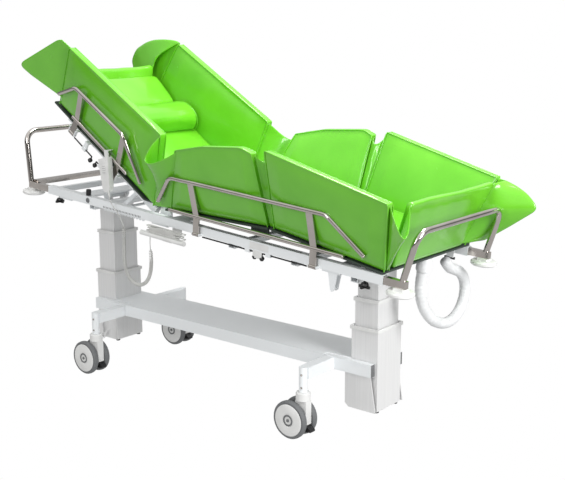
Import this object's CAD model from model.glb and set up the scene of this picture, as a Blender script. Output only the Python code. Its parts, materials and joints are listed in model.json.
"""Looks of the shower stretcher trolley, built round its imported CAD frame.

Everything is in metres, in the CAD's own axes: +X towards the foot end, -Y the near side.
Tub pieces are drawn in the axes of the board that carries them: along it, across it and up
from it."""

import json
import math

import bmesh
import bpy
from mathutils import Matrix, Vector, noise


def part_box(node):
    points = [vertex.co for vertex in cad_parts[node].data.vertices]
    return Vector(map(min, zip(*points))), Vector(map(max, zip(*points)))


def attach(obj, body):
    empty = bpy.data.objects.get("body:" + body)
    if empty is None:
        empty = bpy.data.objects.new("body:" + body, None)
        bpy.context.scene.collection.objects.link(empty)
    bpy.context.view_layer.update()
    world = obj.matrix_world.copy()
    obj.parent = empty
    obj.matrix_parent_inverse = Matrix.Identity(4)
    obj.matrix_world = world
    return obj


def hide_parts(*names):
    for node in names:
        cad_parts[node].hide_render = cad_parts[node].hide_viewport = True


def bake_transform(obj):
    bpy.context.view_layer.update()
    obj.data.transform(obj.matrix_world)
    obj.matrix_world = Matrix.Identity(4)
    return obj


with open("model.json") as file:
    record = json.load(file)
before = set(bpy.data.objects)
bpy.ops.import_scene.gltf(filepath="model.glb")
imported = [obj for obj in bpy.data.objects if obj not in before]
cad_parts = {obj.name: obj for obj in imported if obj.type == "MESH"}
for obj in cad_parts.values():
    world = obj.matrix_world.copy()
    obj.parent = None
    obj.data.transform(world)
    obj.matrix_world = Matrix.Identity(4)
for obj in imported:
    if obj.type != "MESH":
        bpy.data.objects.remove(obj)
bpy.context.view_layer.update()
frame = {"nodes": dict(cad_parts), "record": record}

# ------ places from the frame


def turned_about_y(origin, degrees):
    place = Matrix.Translation(Vector(origin))
    return place @ Matrix.Rotation(math.radians(degrees), 4, "Y")


def centre_of(node):
    low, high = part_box(node)
    return (low + high) / 2


def new_object(name, data):
    """An object with the given data, in the scene."""
    item = bpy.data.objects.new(name, data)
    bpy.context.scene.collection.objects.link(item)
    return item


SHIFT = (centre_of("head_column_outer").x + centre_of("foot_column_outer").x) / 2
UPPER = turned_about_y((SHIFT, 0, 0.752), 4.3)
BACK = UPPER @ turned_about_y((-0.158, 0, 0.030), 30)
SEAT = UPPER @ turned_about_y((-0.112, 0, 0.045), -3.1)
LEG = UPPER @ turned_about_y((0.442, 0, 0.075), 6.0)
WORLD = Matrix.Identity(4)
NEAR, FAR = -1, 1
SIDES = (("near", NEAR), ("far", FAR))


def make_camera():
    """The photograph's view: a long lens, from the near foot end, looking a little down."""
    yaw, pitch, roll = math.radians(39.27), math.radians(12.06), math.radians(-0.15)
    ahead = Vector((-math.sin(yaw) * math.cos(pitch), math.cos(yaw) * math.cos(pitch),
                    -math.sin(pitch)))
    right = Vector((math.cos(yaw), math.sin(yaw), 0))
    above = right.cross(ahead)
    side = math.cos(roll) * right + math.sin(roll) * above
    above = math.cos(roll) * above - math.sin(roll) * right
    camera = new_object("camera", bpy.data.cameras.new("camera"))
    turn = Matrix((side, above, -ahead)).transposed().to_4x4()
    camera.matrix_world = Matrix.Translation((SHIFT + 2.8552, -3.1692, 1.5542)) @ turn
    camera.data.lens = 65.79
    camera.data.clip_end = 60
    bpy.context.scene.camera = camera


# ------ materials
def shader_of(material):
    return material.node_tree.nodes["Principled BSDF"]


def link(material, output, socket):
    material.node_tree.links.new(output, socket)


def new_material(name, color, roughness=0.4, metallic=0.0, coat=0.0):
    material = bpy.data.materials.new(name)
    material.use_nodes = True
    shader = shader_of(material)
    shader.inputs["Base Color"].default_value = (*color, 1)
    shader.inputs["Roughness"].default_value = roughness
    shader.inputs["Metallic"].default_value = metallic
    shader.inputs["Coat Weight"].default_value = coat
    shader.inputs["Coat Roughness"].default_value = 0.08
    return material


def add_node(material, kind, **settings):
    node = material.node_tree.nodes.new(kind)
    for name, value in settings.items():
        if name in node.inputs:
            node.inputs[name].default_value = value
        else:
            setattr(node, name, value)
    return node


def object_coords(material, stretch=(1, 1, 1)):
    coords = add_node(material, "ShaderNodeTexCoord")
    mapping = add_node(material, "ShaderNodeMapping")
    mapping.inputs["Scale"].default_value = stretch
    link(material, coords.outputs["Object"], mapping.inputs["Vector"])
    return mapping.outputs["Vector"]


def noise_of(material, scale, stretch=(1, 1, 1), detail=3.0):
    texture = add_node(material, "ShaderNodeTexNoise", Scale=scale, Detail=detail)
    link(material, object_coords(material, stretch), texture.inputs["Vector"])
    return texture.outputs["Fac"]


def vary_color(material, factor, dark, light):
    """The base colour runs from dark to light over the middle of the factor's range."""
    ramp = add_node(material, "ShaderNodeValToRGB")
    first, last = ramp.color_ramp.elements
    first.position, first.color = 0.35, (*dark, 1)
    last.position, last.color = 0.65, (*light, 1)
    link(material, factor, ramp.inputs["Fac"])
    link(material, ramp.outputs["Color"], shader_of(material).inputs["Base Color"])


def vary_roughness(material, factor, low, high):
    span = add_node(material, "ShaderNodeMapRange")
    span.inputs["To Min"].default_value = low
    span.inputs["To Max"].default_value = high
    link(material, factor, span.inputs["Value"])
    link(material, span.outputs["Result"], shader_of(material).inputs["Roughness"])


def add_bump(material, heights):
    """Bumps on top of each other: (height output, strength, distance) for each."""
    normal = None
    for height, strength, distance in heights:
        bump = add_node(material, "ShaderNodeBump", Strength=strength, Distance=distance)
        link(material, height, bump.inputs["Height"])
        if normal:
            link(material, normal, bump.inputs["Normal"])
        normal = bump.outputs["Normal"]
    link(material, normal, shader_of(material).inputs["Normal"])


def vinyl():
    """Glossy coated vinyl: slow waves from the foam below, and a fine leathery grain."""
    material = new_material("tub_vinyl", (0.14, 0.50, 0.02), 0.3, coat=0.55)
    vary_color(material, noise_of(material, 5.0), (0.120, 0.465, 0.012),
               (0.150, 0.525, 0.022))
    vary_roughness(material, noise_of(material, 14.0), 0.20, 0.30)
    grain = add_node(material, "ShaderNodeTexVoronoi", Scale=900.0)
    link(material, object_coords(material), grain.inputs["Vector"])
    add_bump(material, [(noise_of(material, 6.0, (1, 1, 1), 1.0), 0.12, 0.02),
                        (grain.outputs["Distance"], 0.06, 0.0005)])
    return material


def painted(name, color, roughness=0.35):
    """Powder coat with its fine orange peel."""
    material = new_material(name, color, roughness, coat=0.15)
    darker = tuple(c * 0.95 for c in color)
    vary_color(material, noise_of(material, 3.0), darker, color)
    vary_roughness(material, noise_of(material, 40.0), roughness - 0.06, roughness + 0.08)
    add_bump(material, [(noise_of(material, 420.0), 0.10, 0.0006)])
    return material


def anodised():
    """Satin aluminium extrusion: faint drawn lines along its length."""
    material = new_material("column_alu", (0.74, 0.74, 0.74), 0.36, 0.2)
    streaks = noise_of(material, 60.0, (4, 4, 0.05))
    vary_color(material, streaks, (0.78, 0.78, 0.78), (0.83, 0.83, 0.83))
    vary_roughness(material, streaks, 0.33, 0.40)
    add_bump(material, [(noise_of(material, 220.0, (3, 3, 0.03)), 0.03, 0.0002)])
    return material


def stainless():
    """Polished stainless tube with faint polishing marks."""
    material = new_material("stainless", (0.50, 0.46, 0.43), 0.14, 1.0)
    vary_color(material, noise_of(material, 8.0), (0.52, 0.48, 0.45), (0.62, 0.58, 0.55))
    vary_roughness(material, noise_of(material, 120.0, (0.2, 1, 1)), 0.07, 0.15)
    add_bump(material, [(noise_of(material, 500.0, (0.1, 1, 1)), 0.08, 0.0003)])
    return material


def moulded(name, color, roughness=0.45, peel=300.0):
    """Moulded plastic: a fine spark-eroded skin and slight flow marks."""
    material = new_material(name, color, roughness)
    darker = tuple(c * 0.9 for c in color)
    vary_color(material, noise_of(material, 12.0), darker, color)
    vary_roughness(material, noise_of(material, 70.0), roughness - 0.08, roughness + 0.1)
    add_bump(material, [(noise_of(material, peel), 0.15, 0.0005)])
    return material


MATERIALS = {
    "tub_vinyl": vinyl(),
    "white_paint": painted("white_paint", (0.86, 0.885, 0.90)),
    "column_alu": anodised(),
    "stainless": stainless(),
    "board": moulded("board", (0.035, 0.05, 0.04), 0.5, 90.0),
    "white_plastic": moulded("white_plastic", (0.80, 0.80, 0.79), 0.38),
    "black_plastic": moulded("black_plastic", (0.012, 0.012, 0.013), 0.35),
    "tyre_grey": moulded("tyre_grey", (0.16, 0.165, 0.17), 0.6, 160.0),
    "cable": moulded("cable", (0.62, 0.62, 0.60), 0.5),
    "hose": moulded("hose", (0.84, 0.85, 0.86), 0.4, 60.0),
}


# ------ making pieces
def finish_piece(piece, slot, body=None, smooth=True):
    """Material, slot and body of a new piece."""
    piece.data.materials.clear()
    piece.data.materials.append(MATERIALS[slot])
    if smooth and piece.type == "MESH":
        piece.data.polygons.foreach_set("use_smooth", [True] * len(piece.data.polygons))
    if body:
        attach(piece, body)
    return piece


def subdivide(piece, levels=1):
    smooth = piece.modifiers.new("smooth", "SUBSURF")
    smooth.levels = smooth.render_levels = levels


def round_edges(piece, width, segments):
    edges = piece.modifiers.new("edges", "BEVEL")
    edges.width = width
    edges.segments = segments
    edges.limit_method = "ANGLE"
    return edges


def mesh_piece(name, points, faces):
    mesh = bpy.data.meshes.new(name)
    mesh.from_pydata([tuple(point) for point in points], [], faces)
    mesh.update()
    work = bmesh.new()
    work.from_mesh(mesh)
    bmesh.ops.recalc_face_normals(work, faces=work.faces)
    work.to_mesh(mesh)
    work.free()
    return new_object(name, mesh)


def grid_faces(rows, columns, closed=False):
    """Quads of a grid of points, row after row; closed joins each row's ends."""
    faces = []
    for row in range(rows - 1):
        for column in range(columns if closed else columns - 1):
            after = (column + 1) % columns
            faces.append((row * columns + column, row * columns + after,
                          (row + 1) * columns + after, (row + 1) * columns + column))
    return faces


def sheet_piece(name, rows, thickness):
    """A vinyl sheet from rows of points, with its real thickness and smooth folds."""
    points = [point for row in rows for point in row]
    piece = mesh_piece(name, points, grid_faces(len(rows), len(rows[0])))
    solid = piece.modifiers.new("thick", "SOLIDIFY")
    solid.thickness = thickness
    solid.offset = 0
    subdivide(piece)
    return piece


def loft_piece(name, rings, levels=1):
    """A closed solid through rings of points, with its two ends capped."""
    points = [point for ring in rings for point in ring]
    count = len(rings[0])
    faces = grid_faces(len(rings), count, closed=True)
    faces.append(tuple(range(count)))
    last = len(points) - count
    faces.append(tuple(range(last, last + count)))
    piece = mesh_piece(name, points, faces)
    if levels:
        subdivide(piece, levels)
    return piece


def lathe_piece(name, profile, centre, axis, segments=48):
    """A turned piece: (radius, height) points about an axis through centre."""
    turn = Vector(axis).to_track_quat("Z", "Y").to_matrix().to_4x4()
    place = Matrix.Translation(Vector(centre)) @ turn
    rings = []
    for radius, height in profile:
        angles = [2 * math.pi * step / segments for step in range(segments)]
        rings.append([place @ Vector((max(radius, 1e-5) * math.cos(angle),
                                      max(radius, 1e-5) * math.sin(angle), height))
                      for angle in angles])
    piece = loft_piece(name, rings, levels=0)
    round_edges(piece, 0.0006, 2)
    return piece


def block_piece(name, low, high, place=WORLD, bevel=0.001):
    """A box with softened edges, between two corners in the given axes."""
    corners = [place @ Vector((x, y, z)) for x in (low[0], high[0])
               for y in (low[1], high[1]) for z in (low[2], high[2])]
    faces = [(0, 1, 3, 2), (4, 6, 7, 5), (0, 4, 5, 1), (2, 3, 7, 6), (0, 2, 6, 4),
             (1, 5, 7, 3)]
    piece = mesh_piece(name, corners, faces)
    round_edges(piece, bevel, 3)
    return piece


def line_piece(name, points, radius, smooth=True):
    """A bead or wire along points, as a curve."""
    curve = bpy.data.curves.new(name, "CURVE")
    curve.dimensions = "3D"
    curve.bevel_depth = radius
    curve.bevel_resolution = 3
    curve.use_fill_caps = True
    spline = curve.splines.new("NURBS" if smooth else "POLY")
    spline.points.add(len(points) - 1)
    for item, point in zip(spline.points, points):
        item.co = (*point, 1)
    if smooth:
        spline.order_u = 3
        spline.use_endpoint_u = True
    return new_object(name, curve)


def centreline(points, per_run=8):
    """The smooth NURBS line whose control points are given, as a list of points."""
    guide = line_piece("guide", points, 0.0)
    guide.data.use_fill_caps = False
    guide.data.resolution_u = per_run
    mesh = bpy.data.meshes.new_from_object(guide)
    line = [vertex.co.copy() for vertex in mesh.vertices]
    bpy.data.objects.remove(guide)
    bpy.data.meshes.remove(mesh)
    return line


def frames_along(line):
    """A sideways and an upward direction at each point of a line, without twist."""
    found, across = [], None
    for index, point in enumerate(line):
        ahead = line[min(index + 1, len(line) - 1)] - line[max(index - 1, 0)]
        ahead.normalize()
        if across is None:
            across = ahead.orthogonal().normalized()
        across = (across - ahead * across.dot(ahead)).normalized()
        found.append((across.copy(), ahead.cross(across)))
    return found


def swept_piece(name, line, radius_at, sides=10):
    """A tube along a line, whose radius may change along it and round it."""
    rings = []
    for index, (point, (across, above)) in enumerate(zip(line, frames_along(line))):
        ring = []
        for side in range(sides):
            angle = 2 * math.pi * side / sides
            reach = radius_at(index, angle)
            ring.append(point + across * (reach * math.cos(angle))
                        + above * (reach * math.sin(angle)))
        rings.append(ring)
    return loft_piece(name, rings, levels=0)


def length_of(line):
    return sum((after - before).length for before, after in zip(line, line[1:]))


# ------ cords
LEAD = [(-0.39515, -0.344, 0.0751), (-0.3891, -0.344, 0.0408), (-0.374, -0.333, 0.008),
        (-0.352, -0.319, -0.025), (-0.336, -0.312, -0.062)]
CURL = [LEAD[-1], (-0.331, -0.312, -0.105), (-0.329, -0.312, -0.150),
        (-0.328, -0.312, -0.196), (-0.322, -0.311, -0.240), (-0.303, -0.310, -0.278),
        (-0.269, -0.309, -0.300), (-0.229, -0.308, -0.302), (-0.195, -0.307, -0.281),
        (-0.176, -0.306, -0.245), (-0.171, -0.305, -0.206), (-0.173, -0.305, -0.168),
        (-0.179, -0.305, -0.131)]
TAIL = [CURL[-1], (-0.182, -0.305, -0.112), (-0.181, -0.306, -0.093),
        (-0.174, -0.313, -0.077), (-0.168, -0.318, -0.066), (-0.168, -0.318, -0.05002)]
HOSE = [(0.9233, 0.015, -0.0344), (0.9189, 0.015, -0.0762), (0.925, 0.010, -0.122),
        (0.933, 0.024, -0.172), (0.940, 0.058, -0.216), (0.945, 0.105, -0.249),
        (0.947, 0.158, -0.268), (0.948, 0.214, -0.272), (0.947, 0.266, -0.256),
        (0.944, 0.306, -0.222), (0.939, 0.328, -0.176), (0.933, 0.326, -0.130),
        (0.926, 0.300, -0.094), (0.921, 0.258, -0.076), (0.9175, 0.216, -0.062),
        (0.920, 0.183, -0.030)]
WIRE_RADIUS = 0.0019
CURL_RADIUS = 0.0064
CURL_PITCH = 0.0054
HOSE_RADIUS = 0.022


def upper_route(route):
    return [UPPER @ Vector(point) for point in route]


def make_handset_cord():
    """Straight lead, curly stretch and straight tail as one wire."""
    lead = centreline(upper_route(LEAD))
    middle = centreline(upper_route(CURL), 40)
    tail = centreline(upper_route(TAIL))
    turns = round(length_of(middle) / CURL_PITCH)
    steps_per_turn = 12
    steps = turns * steps_per_turn
    frames = frames_along(middle)
    helix = []
    for step in range(steps + 1):
        place = step / steps * (len(middle) - 1)
        index = min(int(place), len(middle) - 2)
        point = middle[index].lerp(middle[index + 1], place - index)
        across, above = frames[index]
        ease = min(1.0, step / EASE_STEPS, (steps - step) / EASE_STEPS)
        angle = 2 * math.pi * step / steps_per_turn
        helix.append(point + (across * math.cos(angle) + above * math.sin(angle))
                     * (CURL_RADIUS * ease))
    line = lead[:-1] + helix + tail[1:]
    wire = swept_piece("handset_wire", line, lambda index, angle: WIRE_RADIUS, 6)
    finish_piece(wire, "cable")
    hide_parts("handset_cord")
    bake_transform(wire)
    print("handset wire length", round(length_of(line), 3))


HANK_TURNS = 6
HANK_Y = -0.329
HANK_FOLD = 0.0146
HANK_HALF = 0.0148
EASE_STEPS = 18


def make_hank():
    """The spare cable: long flat loops side by side over the holder's tube."""
    points = [Vector((-0.168, -0.318, -0.0495))]
    for turn in range(HANK_TURNS):
        level = -0.0478 + turn * 0.00405
        start = -0.176 + 0.007 * ((turn * 2) % 5)
        end = 0.040 - 0.011 * ((turn * 3) % 5)
        for side, reach in ((-1, 1), (1, -1)):
            first, last = (start, end) if side < 0 else (end, start)
            inset = HANK_FOLD * reach
            for share in (0.0, 0.25, 0.5, 0.75, 1.0):
                along = (first + inset) * (1 - share) + (last - inset) * share
                bow = 0.0006 * math.sin(math.pi * share) * math.sin(turn * 1.7)
                points.append(Vector((along, HANK_Y + side * (HANK_HALF - 0.0022) + bow,
                                      level + 0.0009 * share)))
            centre = last - inset
            for degrees in (-55, 0, 55):
                angle = math.radians(degrees)
                points.append(Vector((
                    centre + reach * HANK_HALF * 1.02 * math.cos(angle),
                    HANK_Y - side * math.sin(angle) * HANK_HALF * 0.86,
                    level + 0.0010 + 0.00045 * (degrees + 55) / 55)))
    points.append(Vector((-0.120, -0.322, -0.0245)))
    line = [UPPER @ point for point in points]
    wire = line_piece("cord_hank_wire", line, WIRE_RADIUS)
    wire.data.resolution_u = 6
    finish_piece(wire, "cable", "frame")
    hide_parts("cord_hank")
    length = length_of(centreline(line))
    print("hank length", round(length, 3))


def make_hose():
    """The drain hose: soft ribbed wall that wrinkles where it bends."""
    line = centreline(upper_route(HOSE), 14)

    def radius_at(index, angle):
        share = index / (len(line) - 1)
        rib = 0.0005 * math.sin(2 * math.pi * share * 46)
        crease = noise.noise(Vector((share * 60, math.cos(angle), math.sin(angle))))
        slack = 0.5 if share > 0.45 else 1.0
        return HOSE_RADIUS * 0.97 + rib * slack + 0.0011 * slack * crease

    hose = swept_piece("drain_hose_wall", line, radius_at, 28)
    finish_piece(hose, "hose", "leg")
    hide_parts("drain_hose")
    print("hose length", round(length_of(line), 3))


make_camera()
make_handset_cord()
make_hank()
make_hose()


# ------ tub walls
def along_outline(points, share):
    """The point a share of the way along straight runs through points."""
    runs = [(Vector(b) - Vector(a)).length for a, b in zip(points, points[1:])]
    left = share * sum(runs)
    for (a, b), run in zip(zip(points, points[1:]), runs):
        if left <= run or (a, b) == (points[-2], points[-1]):
            return Vector(a).lerp(Vector(b), min(1.0, left / run))
        left -= run


def softened(points, share, window=0.03):
    """As along_outline, averaged over a short window so that corners are round."""
    window = min(window, share, 1 - share)
    total = Vector(points[0]) * 0.0
    for step in (-1, -0.5, 0, 0.5, 1):
        total += along_outline(points, share + step * window)
    return total / 5


def wall_section(bows, tops):
    """Points round a wall's section, as (level, across, bow, proud): up its outer face,
    over the top and down its inner face. bows are (level, bow), tops (across, proud)."""
    return ([(level, 0.0, -bow, 0) for level, bow in bows]
            + [(1.0, across, 0.0, proud) for across, proud in tops]
            + [(level, 1.0, bow, 0) for level, bow in reversed(bows)])


WALL_SECTION = wall_section(
    ((0.0, 0.0), (0.04, 0.0), (0.10, 0.006), (0.3, 0.0105), (0.5, 0.012), (0.7, 0.0105),
     (0.90, 0.006), (0.95, 0.0005), (0.985, 0.0), (1.0, 0.0)),
    ((0.08, 0.002), (0.3, 0.0035), (0.5, 0.004), (0.7, 0.0035), (0.92, 0.002)))
CROSS_SECTION = wall_section(
    ((0.0, 0.0), (0.04, 0.0), (0.25, 0.004), (0.5, 0.006), (0.75, 0.004), (0.96, 0.0),
     (1.0, 0.0)), ((0.5, 0.003),))


def make_wall(name, wall, side, foot, top, body):
    """A foam-filled wall. foot is two points and top a line of points, all (along, up).
    wall says where it stands and how it leans. It has a welded flat top edge."""
    place, foot_y, slope = wall
    columns = 44
    ends = (0.0, 0.004, 0.02)
    shares = list(ends) + [0.02 + 0.96 * (i + 1) / (columns + 1) for i in range(columns)]
    shares += [1 - share for share in reversed(ends)]
    rings = []
    for share in shares:
        low = Vector(foot[0]).lerp(Vector(foot[1]), share)
        high = softened(top, share)
        edge = min(share, 1 - share)
        full = 0.72 if edge == 0.0 else (0.94 if edge < 0.01 else 1.0)
        crown = min(1.0, edge / 0.12)
        ring = []
        for level, across, bow, proud in WALL_SECTION:
            spot = low.lerp(high, level)
            depth = WALL_THICK * (0.5 + (across - 0.5) * full)
            wrinkle = 0.0016 * noise.noise(Vector((spot.x * 9, spot.y * 16, side * 3.1)))
            outer = foot_y + spot.y * slope
            y = side * (outer - depth - (bow + (wrinkle if bow else 0)) * crown)
            ring.append(place @ Vector((spot.x, y, spot.y + proud * crown)))
        rings.append(ring)
    finish_piece(loft_piece(name, rings), "tub_vinyl", body)
    make_wall_seams(name, wall, side, foot, top, body)


SEAM_RADIUS = 0.0026


def make_wall_seams(name, wall, side, foot, top, body):
    """Welded beads along the wall's top and end edges, outside and inside."""
    start, end = softened(top, 0.0), softened(top, 1.0)
    points = [Vector(foot[0]).lerp(start, step / 5) for step in range(5)]
    points += [softened(top, step / 40) for step in range(41)]
    points += [end.lerp(Vector(foot[1]), (step + 1) / 5) for step in range(5)]
    for word, depth in (("outer", 0.0), ("inner", WALL_THICK)):
        line = [wall_point(wall, side, spot, depth) for spot in points]
        bead = line_piece(f"{name}_seam_{word}", line, SEAM_RADIUS)
        finish_piece(bead, "tub_vinyl", body)


BACK_FOOT = ((-0.028, 0.004), (-0.712, 0.004))
BACK_TOP = ((-0.110, 0.310), (-0.350, 0.298), (-0.742, 0.279))
SEAT_FOOT = ((0.034, 0.006), (0.540, 0.006))
SEAT_TOP = ((0.150, 0.262), (0.300, 0.292), (0.500, 0.308), (0.546, 0.290))
LEG_FOOT = ((0.016, 0.006), (0.512, 0.006))
LEG_TOP = ((0.008, 0.314), (0.540, 0.270))
WALL_THICK = 0.030
# each wall's board, how far from the middle it stands, and its slope
BACK_WALL = (BACK, 0.292, math.tan(math.radians(9)))
SEAT_WALL = (SEAT, 0.290, math.tan(math.radians(20)))
LEG_WALL = (LEG, 0.290, math.tan(math.radians(20)))


def wall_point(wall, side, spot, depth):
    """A point of a wall, depth inside its outer face, at spot (along, up)."""
    place, foot_y, slope = wall
    return place @ Vector((spot.x, side * (foot_y + spot.y * slope - depth), spot.y))


def make_walls():
    for word, side in SIDES:
        make_wall(f"back_wall_{word}", BACK_WALL, side, BACK_FOOT, BACK_TOP, "backrest")
        make_wall(f"seat_wall_{word}", SEAT_WALL, side, SEAT_FOOT, SEAT_TOP, "seat")
        make_wall(f"leg_wall_{word}", LEG_WALL, side, LEG_FOOT, LEG_TOP, "leg")


def cross_wall(name, body, place, foot, top, thick, lower, upper_line):
    """A wall across an end. foot and top are its distances along the board; lower is half
    its width at the board, and upper_line gives (across, up) along its top edge."""
    base = 0.006
    outwards = math.copysign(1, top - foot)
    count = 40
    rings = []
    for step in range(count + 1):
        share = step / count
        high = softened(upper_line, share, 0.04)
        low_y = -lower + 2 * lower * share
        edge = min(share, 1 - share)
        crown = min(1.0, edge / 0.1)
        ring = []
        for level, across, bow, proud in CROSS_SECTION:
            y = low_y + (high[0] - low_y) * level
            up = base + (high[1] - base) * level
            ripple = 0.003 * noise.noise(Vector((y * 14, up * 10, 4.0))) * level
            inwards = thick * across + bow * crown
            x = foot + (top - foot) * level - outwards * inwards + ripple
            ring.append(place @ Vector((x, y, up + proud)))
        rings.append(ring)
    finish_piece(loft_piece(name, rings), "tub_vinyl", body)


def make_end_walls():
    head_edge = ((-0.262, 0.150), (-0.160, 0.124), (-0.090, 0.116), (0.085, 0.116),
                 (0.170, 0.116), (0.262, 0.126))
    cross_wall("head_wall", "backrest", BACK, -0.718, -0.800, 0.022, 0.232, head_edge)
    foot_edge = ((-0.276, 0.262), (-0.150, 0.266), (0.054, 0.260), (0.200, 0.262),
                 (0.300, 0.266))
    cross_wall("foot_wall", "leg", LEG, 0.512, 0.566, 0.026, 0.240, foot_edge)


# ------ tub webs and fins
def draped(drape, share):
    """How far the free edge hangs from the straight line, in a smooth curve through the
    given places."""
    knots = [(0.0, Vector((0, 0, 0)))]
    knots += [(place, Vector(move)) for place, move in drape]
    knots.append((1.0, Vector((0, 0, 0))))
    last = len(knots) - 1
    for index in range(last):
        start, before = knots[index]
        end, after = knots[index + 1]
        if share <= end:
            left, right = knots[max(index - 1, 0)], knots[min(index + 2, last)]
            slope_in = (after - left[1]) / (end - left[0]) * (end - start)
            slope_out = (right[1] - before) / (right[0] - start) * (end - start)
            part = (share - start) / (end - start)
            square, cube = part ** 2, part ** 3
            move = (before * (2 * cube - 3 * square + 1)
                    + slope_in * (cube - 2 * square + part)
                    + after * (3 * square - 2 * cube) + slope_out * (cube - square))
            return UPPER.to_3x3() @ move


def ruled_web(name, side_a, side_b, bulge, dip, body_a, body_b=None, steps=22, fold=1.0,
              drape=()):
    """A vinyl web between two walls' end edges. side_a and side_b give points from the
    bottom, share 0, to the top, share 1. bulge is how far it bellies, and dip how far its
    free top edge sags."""
    grid = []
    rows = 22
    for row in range(rows + 1):
        level = row / rows
        line = []
        for step in range(steps + 1):
            share = step / steps
            belly = math.sin(math.pi * share) ** fold
            point = side_a(level).lerp(side_b(level), share)
            point += Vector(bulge) * (belly * level ** 0.7)
            point -= Vector((0, 0, dip)) * (belly * level ** 1.5)
            ripple = noise.noise(Vector((share * 5, level * 4, len(name) * 0.37)))
            point += Vector(bulge) * (0.12 * ripple * belly * level)
            line.append(point + draped(drape, share) * level ** 1.6)
        grid.append(line)
    web = sheet_piece(name, grid, 0.004)
    finish_piece(web, "tub_vinyl", None if body_b else body_a)
    if body_b:
        middle_a, middle_b = side_a(0.5), side_b(0.5)
        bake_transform(web)


def wall_end(wall, side, foot, top, depth=WALL_THICK * 0.5):
    """The end edge of a wall as a function of the share from its bottom to its top."""
    def at(level):
        return wall_point(wall, side, Vector(foot).lerp(Vector(top), level), depth)
    return at


def make_webs():
    for word, side in SIDES:
        skin = 0.003 if side == NEAR else WALL_THICK * 0.5
        back_end = wall_end(BACK_WALL, side, BACK_FOOT[0], (-0.114, 0.304), skin)
        seat_start = wall_end(SEAT_WALL, side, SEAT_FOOT[0], (0.156, 0.258), skin)
        if side == NEAR:
            ruled_web("hip_web_near", back_end, seat_start, (0, -0.012, 0), 0,
                      "backrest", "frame", fold=0.8, steps=34,
                      drape=((0.14, (-0.036, -0.022, -0.036)),
                             (0.34, (-0.074, -0.030, -0.080)),
                             (0.54, (-0.056, -0.030, -0.080)),
                             (0.78, (-0.016, -0.020, -0.040))))
        else:
            ruled_web("hip_web_far", back_end, seat_start, (0.012, 0.022, 0), 0.045,
                      "backrest", "frame")
        seat_end = wall_end(SEAT_WALL, side, SEAT_FOOT[1], (0.546, 0.286))
        leg_start = wall_end(LEG_WALL, side, LEG_FOOT[0], (0.010, 0.308))
        ruled_web(f"knee_web_{word}", seat_end, leg_start, (0, -side * 0.032, 0), 0.034,
                  "seat", "leg", fold=0.7)
    leg_end = wall_end(LEG_WALL, NEAR, LEG_FOOT[1], (0.538, 0.266))

    def foot_corner(level):
        return LEG @ Vector((0.500 + 0.054 * level, -0.238 - 0.036 * level,
                             0.006 + 0.254 * level))
    ruled_web("foot_web_near", leg_end, foot_corner, (0.040, -0.030, 0), 0.105, "leg",
              fold=0.75)


def fin(name, body, wall_edge, outer_edge, end_edge):
    """A corner of the tub where the spare vinyl stands out as a folded fin: one sheet from
    the side wall's end out to the fold and back to the end wall."""
    grid = []
    steps, rows = 16, 24
    for row in range(rows + 1):
        level = 1 - row / rows
        start, fold, end = wall_edge(level), outer_edge(level), end_edge(level)
        line = []
        for step in range(2 * steps + 1):
            share = step / (2 * steps)
            if share <= 0.5:
                point = start.lerp(fold, share * 2)
            else:
                point = fold.lerp(end, share * 2 - 1)
            # rounds the fold: near it the sheet pulls back towards the chord
            near_fold = max(0.0, 1 - abs(share - 0.5) / 0.10)
            point = point.lerp((start + end) / 2, 0.035 * near_fold ** 2)
            line.append(point)
        grid.append(line)
    finish_piece(sheet_piece(name, grid, 0.005), "tub_vinyl", body)


def edge_line(place, points):
    """A smooth edge through points (along, across, up), by the share from its end."""
    def at(level):
        window = 0.03 * min(1, level * 20, (1 - level) * 20)
        return place @ softened(points, level, window)
    return at


def make_fins():
    near_wall = wall_end(BACK_WALL, NEAR, (-0.710, 0.030), (-0.742, 0.276))
    near_fold = edge_line(BACK, ((-0.900, -0.322, 0.020), (-0.980, -0.345, 0.024),
                                 (-0.975, -0.346, 0.045), (-0.808, -0.348, 0.275),
                                 (-0.790, -0.347, 0.288)))
    near_head = edge_line(BACK, ((-0.722, -0.232, 0.010), (-0.800, -0.262, 0.150)))
    fin("head_fin_near", "backrest", near_wall, near_fold, near_head)
    far_wall = wall_end(BACK_WALL, FAR, (-0.710, 0.030), (-0.742, 0.276))
    far_fold = edge_line(BACK, ((-0.860, 0.262, 0.010), (-0.950, 0.284, 0.050),
                                (-0.955, 0.288, 0.110), (-0.915, 0.292, 0.177),
                                (-0.882, 0.296, 0.212), (-0.829, 0.302, 0.250),
                                (-0.775, 0.312, 0.280), (-0.745, 0.320, 0.286)))
    far_head = edge_line(BACK, ((-0.722, 0.232, 0.010), (-0.800, 0.262, 0.170)))
    fin("head_fin_far", "backrest", far_wall, far_fold, far_head)
    leg_wall = wall_end(LEG_WALL, FAR, (0.512, 0.010), (0.540, 0.268))
    leg_fold = edge_line(LEG, ((0.560, 0.330, 0.030), (0.640, 0.345, 0.105),
                               (0.735, 0.362, 0.200), (0.728, 0.362, 0.214),
                               (0.680, 0.362, 0.246), (0.630, 0.360, 0.262),
                               (0.575, 0.358, 0.270)))
    foot_end = edge_line(LEG, ((0.502, 0.240, 0.010), (0.560, 0.298, 0.262)))
    fin("foot_fin_far", "leg", leg_wall, leg_fold, foot_end)


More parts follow.
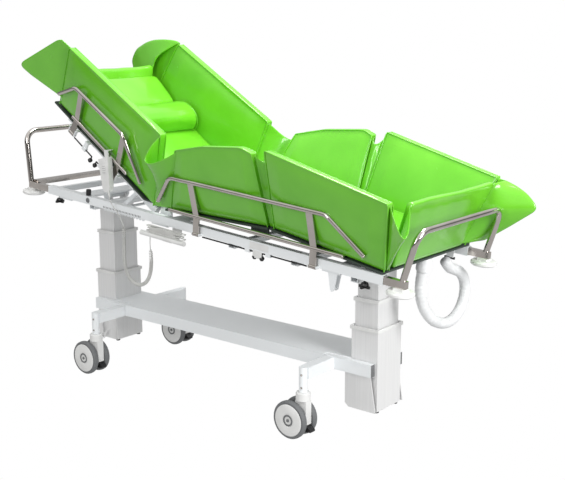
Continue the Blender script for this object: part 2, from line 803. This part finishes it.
# ------ tub floor and pillow
def slab(name, place, low, high):
    """A foam pad with rounded edges and a slightly crowned top, between two corners."""
    crown = 0.004
    work = bmesh.new()
    bmesh.ops.create_cube(work, size=1)
    bmesh.ops.subdivide_edges(work, edges=work.edges[:], cuts=8, use_grid_fill=True)
    low, high = Vector(low), Vector(high)
    size, centre = high - low, (low + high) / 2
    for vertex in work.verts:
        u, v, w = vertex.co * 2
        dome = (1 - u * u) * (1 - v * v) * crown * (1 if w > 0 else 0)
        vertex.co = place @ Vector((centre.x + u * size.x / 2, centre.y + v * size.y / 2,
                                    centre.z + w * size.z / 2 + dome))
    mesh = bpy.data.meshes.new(name)
    work.to_mesh(mesh)
    work.free()
    piece = new_object(name, mesh)
    round_edges(piece, 0.010, 4)
    return piece


def puff(piece, voxel=0.006, cap=0.006, pressure=4.0):
    """Fills a pad by cloth simulation, keeps each point within the cap, and applies it."""
    for modifier in list(piece.modifiers):
        piece.modifiers.remove(modifier)
    remesh = piece.modifiers.new("cells", "REMESH")
    remesh.mode = "VOXEL"
    remesh.voxel_size = voxel
    graph = bpy.context.evaluated_depsgraph_get()
    mesh = bpy.data.meshes.new_from_object(piece.evaluated_get(graph))
    piece.modifiers.clear()
    piece.data = mesh
    rest = [vertex.co.copy() for vertex in mesh.vertices]
    cloth = piece.modifiers.new("cloth", "CLOTH")
    cloth.settings.use_pressure = True
    cloth.settings.uniform_pressure_force = pressure
    cloth.settings.effector_weights.gravity = 0
    scene = bpy.context.scene
    for step in range(1, 21):
        scene.frame_set(step)
    graph = bpy.context.evaluated_depsgraph_get()
    puffed = bpy.data.meshes.new_from_object(piece.evaluated_get(graph))
    piece.modifiers.clear()
    for vertex, start in zip(puffed.vertices, rest):
        move = vertex.co - start
        if move.length > cap:
            vertex.co = start + move * (cap / move.length)
    piece.data = puffed
    scene.frame_set(1)
    subdivide(piece)


PAD_HALF = 0.262


def make_floor():
    """The three floor pads, and the vinyl that joins them over the two hinges."""
    pads = (("back_pad", BACK, -0.700, -0.022, 0.003, "backrest", ("tub_back",)),
            ("seat_pad", SEAT, 0.020, 0.530, 0.008, "seat", ("tub_seat",)),
            ("leg_pad", LEG, 0.014, 0.500, 0.008, "leg", ("tub_leg",)))
    for name, place, first, last, base, body, stands_for in pads:
        pad = slab(name, place, (first, -PAD_HALF, base), (last, PAD_HALF, base + 0.040))
        finish_piece(pad, "tub_vinyl", body)
        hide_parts(*stands_for)


def bridge(name, place_a, place_b, from_a, to_b, rise):
    """A strip of vinyl over a hinge, from one pad's top to the next."""
    grid = []
    for row in range(15):
        across = -PAD_HALF + 2 * PAD_HALF * row / 14
        start = place_a @ Vector((from_a[0], across, from_a[1]))
        end = place_b @ Vector((to_b[0], across, to_b[1]))
        grid.append([start.lerp(end, step / 12)
                     + Vector((0, 0, rise * math.sin(math.pi * (step / 12))))
                     for step in range(13)])
    strip = sheet_piece(name, grid, 0.003)
    finish_piece(strip, "tub_vinyl")
    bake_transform(strip)


def make_bridges():
    bridge("hip_bridge", BACK, SEAT, (-0.060, 0.046),
           (0.050, 0.051), -0.004)
    bridge("knee_bridge", SEAT, LEG, (0.500, 0.051), (0.040, 0.051), 0.004)


ROLL_OUTLINE = [(-0.400, 0.044), (-0.397, 0.070), (-0.406, 0.094), (-0.425, 0.112),
                (-0.452, 0.122), (-0.480, 0.124), (-0.508, 0.120), (-0.532, 0.110),
                (-0.550, 0.092), (-0.560, 0.068), (-0.560, 0.044), (-0.520, 0.041),
                (-0.440, 0.041)]
CROWN_OUTLINE = [(-0.556, 0.044), (-0.566, 0.076), (-0.592, 0.088), (-0.640, 0.096),
                 (-0.700, 0.106), (-0.762, 0.114), (-0.716, 0.044), (-0.640, 0.041)]
PAD_TOP = 0.044
CUSHION_HALF = 0.252


def cushion_rings(outline, shares, shrinks, middle, sag=0.0):
    """Rings of a cushion, from wall to wall of the back. shrinks draws the rings near its
    ends in towards middle, and sag is how far its top hangs halfway across."""
    rings = []
    for share in shares:
        shrink = shrinks.get(round(min(share, 1 - share), 3), 1.0)
        dip = sag * math.sin(math.pi * share)
        ring = []
        for x, up in outline:
            level = PAD_TOP + (up - PAD_TOP) * shrink
            if level > 0.06:
                level -= dip
            ring.append(BACK @ Vector((middle + (x - middle) * shrink,
                                       -CUSHION_HALF + 2 * CUSHION_HALF * share, level)))
        rings.append(ring)
    return rings


def make_pillow():
    """The D-shaped head roll, full between the walls, with the cushion behind it."""
    shares = (0.0, 0.006, 0.02, 0.08, 0.2, 0.35, 0.5, 0.65, 0.8, 0.92, 0.98, 0.994, 1.0)
    rings = cushion_rings(ROLL_OUTLINE, shares, {0.0: 0.86, 0.006: 0.965}, -0.480)
    roll = loft_piece("pillow_roll", rings, levels=2)
    puff(roll)
    finish_piece(roll, "tub_vinyl", "backrest")
    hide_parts("pillow")
    for word, side in SIDES:
        line = [BACK @ Vector((x, side * (CUSHION_HALF - 0.004), up))
                for x, up in ROLL_OUTLINE[:11]]
        bead = line_piece(f"pillow_seam_{word}", line, 0.0018)
        finish_piece(bead, "tub_vinyl", "backrest")
    shares = (0.0, 0.008, 0.03, 0.1, 0.3, 0.5, 0.7, 0.9, 0.97, 0.992, 1.0)
    rings = cushion_rings(CROWN_OUTLINE, shares, {0.0: 0.8, 0.008: 0.95}, -0.636, 0.004)
    rest = loft_piece("crown_cushion", rings, levels=2)
    finish_piece(rest, "tub_vinyl", "backrest")


make_walls()
make_end_walls()
make_webs()
make_fins()
make_floor()
make_bridges()
make_pillow()


# ------ hard parts' details
def make_collars():
    """White bands round the columns' top edges."""
    for node, body in (("head_column_outer", "base"), ("foot_column_outer", "base"),
                       ("head_column_mid", "head_mid"), ("foot_column_mid", "foot_mid")):
        low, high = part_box(node)
        band, proud, inner = 0.013, 0.0012, 0.0045
        points = []
        for level, out in ((high.z - band, proud), (high.z + proud, proud),
                           (high.z + proud, -inner), (high.z - band, -inner)):
            x0, x1 = low.x - out, high.x + out
            y0, y1 = low.y - out, high.y + out
            points += [(x0, y0, level), (x1, y0, level), (x1, y1, level), (x0, y1, level)]
        faces = [tuple(corner % 16 for corner in face)
                 for face in grid_faces(5, 4, closed=True)]
        piece = mesh_piece(f"{node}_band", points, faces)
        round_edges(piece, 0.0008, 2)
        finish_piece(piece, "white_plastic", body, smooth=False)


WHEEL_TRIM = (
    ("disc", "white_plastic", 48, [(0.0625, -0.006), (0.0625, 0.0004), (0.060, 0.0014),
                                   (0.026, 0.0024), (0.024, 0.0010), (0.0, 0.0010)]),
    ("ring", "tyre_grey", 48, [(0.0222, 0.0006), (0.0222, 0.0030), (0.0160, 0.0030),
                               (0.0160, 0.0006)]),
    ("hub", "tyre_grey", 24, [(0.0065, 0.0006), (0.0065, 0.0036), (0.005, 0.0044),
                              (0.0, 0.0046)]))


def make_wheel_discs():
    """White wheel discs with a grey ring and a hub cap on both faces of each caster."""
    for name in ("head_near", "head_far", "foot_near", "foot_far"):
        low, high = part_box(f"caster_{name}_wheels")
        centre = (low + high) / 2
        for word, side, face in (("a", NEAR, low.y), ("b", FAR, high.y)):
            at = (centre.x, face, centre.z)
            for trim, slot, segments, profile in WHEEL_TRIM:
                piece = lathe_piece(f"wheel_{trim}_{name}_{word}", profile, at,
                                    (0, side, 0), segments)
                finish_piece(piece, slot, f"wheels_{name}")


SCREW_HEAD = [(0.0045, -0.001), (0.0045, 0.0012), (0.0026, 0.0016), (0.0022, 0.0004),
              (0.0, 0.0004)]


def make_screws():
    """Two cap screws in each caster post."""
    for x_side in (-1, 1):
        for y_side in (-1, 1):
            x = SHIFT + x_side * 0.587
            for index, level in enumerate((0.255, 0.205)):
                at = (x + 0.004, y_side * 0.275 - 0.0160, level)
                end, word = "hf"[x_side > 0], "nf"[y_side > 0]
                screw = lathe_piece(f"post_screw_{index}_{end}{word}", SCREW_HEAD, at,
                                    (0, -1, 0), 20)
                finish_piece(screw, "stainless", "base")


def make_feet():
    """Black feet under the columns' corners and grey caps on the base tubes."""
    for node in ("head_column_outer", "foot_column_outer"):
        low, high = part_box(node)
        for x in (low.x + 0.016, high.x - 0.016):
            for y in (low.y + 0.020, high.y - 0.020):
                foot = lathe_piece(f"{node[:4]}_foot_{x:.2f}_{y:.2f}".replace("-", "m"),
                                   [(0.010, 0.004), (0.010, -0.006), (0.008, -0.008),
                                    (0.0, -0.008)], (x, y, low.z), (0, 0, 1), 20)
                finish_piece(foot, "black_plastic", "base")
    low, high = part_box("base_tubes")
    for x, outwards in ((low.x, -1), (high.x, 1)):
        for side in (-1, 1):
            y = side * 0.095
            a, b = sorted((x - outwards * 0.003, x + outwards * 0.0008))
            cap = block_piece(f"tube_cap_{outwards}_{side}".replace("-", "m"),
                              (a, y - 0.0118, high.z - 0.0495),
                              (b, y + 0.0118, high.z - 0.0005))
            finish_piece(cap, "tyre_grey", "base")


def slot_row(name, first, last, pitch, low, high):
    """A row of small dark slots punched along a side tube, from low to high in y and w."""
    points, faces = [], []
    for index in range(int((last - first) / pitch)):
        start = first + index * pitch
        base = len(points)
        for along in (start, start + pitch * 0.35):
            for across, up in ((low[0], low[1]), (high[0], low[1]), (high[0], high[1]),
                               (low[0], high[1])):
                points.append(UPPER @ Vector((along, across, up)))
        faces += [tuple(base + corner for corner in face) for face in
                  ((3, 2, 1, 0), (4, 5, 6, 7), (0, 1, 5, 4), (1, 2, 6, 5), (2, 3, 7, 6),
                   (3, 0, 4, 7))]
    finish_piece(mesh_piece(name, points, faces), "black_plastic", "frame", smooth=False)


def make_frame_slots():
    """Slots on the near side tube's face, and on its top in two runs."""
    slot_row("slots_side_near", -0.470, -0.235, 0.009, (-0.3063, -0.014), (-0.3055, -0.006))
    for name, first, last in (("slots_top_near", 0.130, 0.360),
                              ("slots_top_near_foot", 0.400, 0.600)):
        slot_row(name, first, last, 0.009, (-0.300, 0.0170), (-0.286, 0.0180))


def make_label():
    """A blank plate on the near side tube, with a rim, and the clip below it."""
    for name, low, high, bevel in (
            ("side_plate_label", (0.356, -0.3072, -0.012), (0.448, -0.3062, 0.012), 0.0004),
            ("latch_cover", (0.372, -0.3065, -0.046), (0.416, -0.3050, -0.016), 0.0006)):
        finish_piece(block_piece(name, low, high, UPPER, bevel), "white_plastic", "frame")


def make_head_fittings():
    """The black stop on the near side tube's head end and the round cap on its face."""
    for name, slot, profile, spot, axis in (
            ("tube_stop", "black_plastic",
             [(0.011, 0.0), (0.011, 0.024), (0.009, 0.027), (0.0, 0.027)],
             (-0.582, -0.291, 0.0175), UPPER.to_3x3() @ Vector((0, 0, 1))),
            ("tube_face_cap", "tyre_grey",
             [(0.011, 0.0), (0.011, 0.002), (0.008, 0.004), (0.0, 0.0045)],
             (-0.569, -0.306, 0.0), (0, -1, 0))):
        piece = lathe_piece(name, profile, UPPER @ Vector(spot), axis, 32)
        finish_piece(piece, slot, "frame")


RAIL_Y = 0.318


def make_rail_ends():
    """Rounded plugs in the rails' open tube ends."""
    top_seat = ((-0.118, 0.085, -0.026, 0.199), (0.884, 0.074, 0.738, 0.198))
    low_seat = ((-0.062, 0.058, 0.794, 0.052), (0.794, 0.052, -0.062, 0.058))
    top_back = ((-0.112, 0.060, -0.272, 0.188), (-0.706, 0.066, -0.604, 0.174))
    low_back = ((-0.204, 0.034, -0.590, 0.030), (-0.590, 0.030, -0.204, 0.034))
    sets = (("seat", UPPER, top_seat, low_seat, 0.055, 0.199),
            ("back", BACK, top_back, low_back, 0.034, 0.188))
    for part, place, tops, lows, foot, crest in sets:
        for word, side in SIDES:
            body = f"rail_{part}_{word}"

            def across(level):
                return RAIL_Y + max(0.0, 0.042 * (level - foot) / (crest - foot))
            for index, (a, b, c, d) in enumerate(tops + lows):
                is_top = index < 2
                foot_y = across(b) if is_top else RAIL_Y
                next_y = across(d) if is_top else RAIL_Y
                tip = Vector((a, side * foot_y, b))
                back = Vector((c, side * next_y, d))
                axis = place.to_3x3() @ (tip - back).normalized()
                radius = 0.0088 if is_top else 0.0082
                dome = [(radius * math.cos(turn), radius * 0.6 * math.sin(turn))
                        for turn in (0, 0.4, 0.8, 1.2, math.pi / 2)]
                plug = lathe_piece(f"{body}_end_{index}", [(radius, -0.002)] + dome,
                                   place @ tip, axis, 24)
                finish_piece(plug, "stainless", body)


def make_handset_face():
    """Key outlines on the handset's face, blank, and its strain relief."""
    at = UPPER @ turned_about_y((-0.408, -0.344, 0.148), -10)
    for index, level in enumerate((0.046, 0.028)):
        mark = block_piece(f"handset_mark_{index}", (-0.016, -0.0128, level),
                           (0.016, -0.0120, level + 0.012), at, 0.0003)
        finish_piece(mark, "white_plastic", "rail_back_near")
    for index, level in enumerate((0.0325, 0.0235, 0.0145, 0.0055)):
        groove = block_piece(f"key_line_{index}", (-0.009, -0.0142, level - 0.0005),
                             (0.009, -0.0137, level + 0.0005), at, 0.0001)
        finish_piece(groove, "tyre_grey", "keys")
    relief = lathe_piece("handset_relief", [(0.0058, -0.002), (0.0056, 0.004),
                                            (0.0042, 0.012), (0.0032, 0.020),
                                            (0.0026, 0.024), (0.0020, 0.024),
                                            (0.0020, -0.002)],
                         UPPER @ Vector((-0.3951, -0.344, 0.0751)),
                         UPPER.to_3x3() @ Vector((0.17, 0.08, -0.98)), 24)
    finish_piece(relief, "white_plastic", "rail_back_near")


def make_hose_fitting():
    """A threaded collar where the hose leaves the tub's outlet."""
    centre = LEG @ Vector((0.490, 0.015, -0.0305))
    profile = [(0.0262, -0.024)]
    for turn in range(9):
        level = -0.022 + turn * 0.005
        profile += [(0.0285, level), (0.0268, level + 0.0025)]
    profile += [(0.0262, 0.024), (0.0240, 0.024), (0.0240, -0.024), (0.0262, -0.024)]
    ring = lathe_piece("outlet_thread", profile[:-1], centre,
                       LEG.to_3x3() @ Vector((0, 0, 1)), 40)
    finish_piece(ring, "hose", "leg")


make_collars()
make_wheel_discs()
make_screws()
make_feet()
make_label()
make_frame_slots()
make_head_fittings()
make_rail_ends()
make_handset_face()
make_hose_fitting()


# ------ CAD parts' finishes
def dress_cad_nodes():
    """Each visible CAD node gets the material of its own slot."""
    slots = {row["node"]: row["material_slot"] for row in frame["record"]["subparts"]}
    for name, node in frame["nodes"].items():
        node.data.materials.clear()
        node.data.materials.append(MATERIALS[slots[name]])
        edges = round_edges(node, 0.0007, 2)
        edges.angle_limit = math.radians(40)
        edges.harden_normals = True


dress_cad_nodes()


# ------ studio and light
STUDIO_BANDS = ((0.42, 0.55), (0.48, 0.12), (0.57, 0.14), (0.70, 0.75))


def make_world():
    """White where the camera looks past the object, with no floor. What lights the pieces
    and shows in them is a studio, dark round its middle."""
    world = bpy.data.worlds.new("studio")
    bpy.context.scene.world = world
    world.use_nodes = True
    nodes, links = world.node_tree.nodes, world.node_tree.links
    studio = nodes["Background"]
    studio.inputs["Strength"].default_value = 1.05
    coords = nodes.new("ShaderNodeTexCoord")
    split = nodes.new("ShaderNodeSeparateXYZ")
    span = nodes.new("ShaderNodeMapRange")
    span.inputs["From Min"].default_value = -1.0
    ramp = nodes.new("ShaderNodeValToRGB")
    links.new(coords.outputs["Generated"], split.inputs["Vector"])
    links.new(split.outputs["Z"], span.inputs["Value"])
    links.new(span.outputs["Result"], ramp.inputs["Fac"])
    elements = ramp.color_ramp.elements
    elements[0].position, elements[0].color = 0.0, (0.62, 0.62, 0.62, 1)
    elements[1].position, elements[1].color = 1.0, (0.95, 0.95, 0.95, 1)
    for position, grey in STUDIO_BANDS:
        item = elements.new(position)
        item.color = (grey, grey, grey * 0.99, 1)
    links.new(ramp.outputs["Color"], studio.inputs["Color"])
    backdrop = nodes.new("ShaderNodeBackground")
    backdrop.inputs["Color"].default_value = (1, 1, 1, 1)
    path = nodes.new("ShaderNodeLightPath")
    mix = nodes.new("ShaderNodeMixShader")
    links.new(path.outputs["Is Camera Ray"], mix.inputs["Fac"])
    links.new(studio.outputs["Background"], mix.inputs[1])
    links.new(backdrop.outputs["Background"], mix.inputs[2])
    links.new(mix.outputs["Shader"], nodes["World Output"].inputs["Surface"])


def area_light(name, place, target, size, power):
    light = bpy.data.lights.new(name, "AREA")
    light.shape = "RECTANGLE"
    light.size, light.size_y = size
    light.energy = power
    lamp = new_object(name, light)
    lamp.location = place
    aim = Vector(target) - Vector(place)
    lamp.rotation_euler = aim.to_track_quat("-Z", "Y").to_euler()


def make_lights():
    """The foot end faces the key light, so the near sides stay darker."""
    area_light("foot_softbox", (4.0, -0.6, 2.1), (0.1, 0, 0.8), (1.2, 2.2), 118)
    area_light("top_softbox", (0.5, 0.5, 3.6), (0, 0, 0.8), (2.2, 1.0), 100)
    area_light("near_strip", (0.9, -4.2, 2.4), (0, 0, 0.7), (0.6, 2.2), 52)


make_world()
make_lights()
bpy.context.scene.view_settings.view_transform = "Standard"
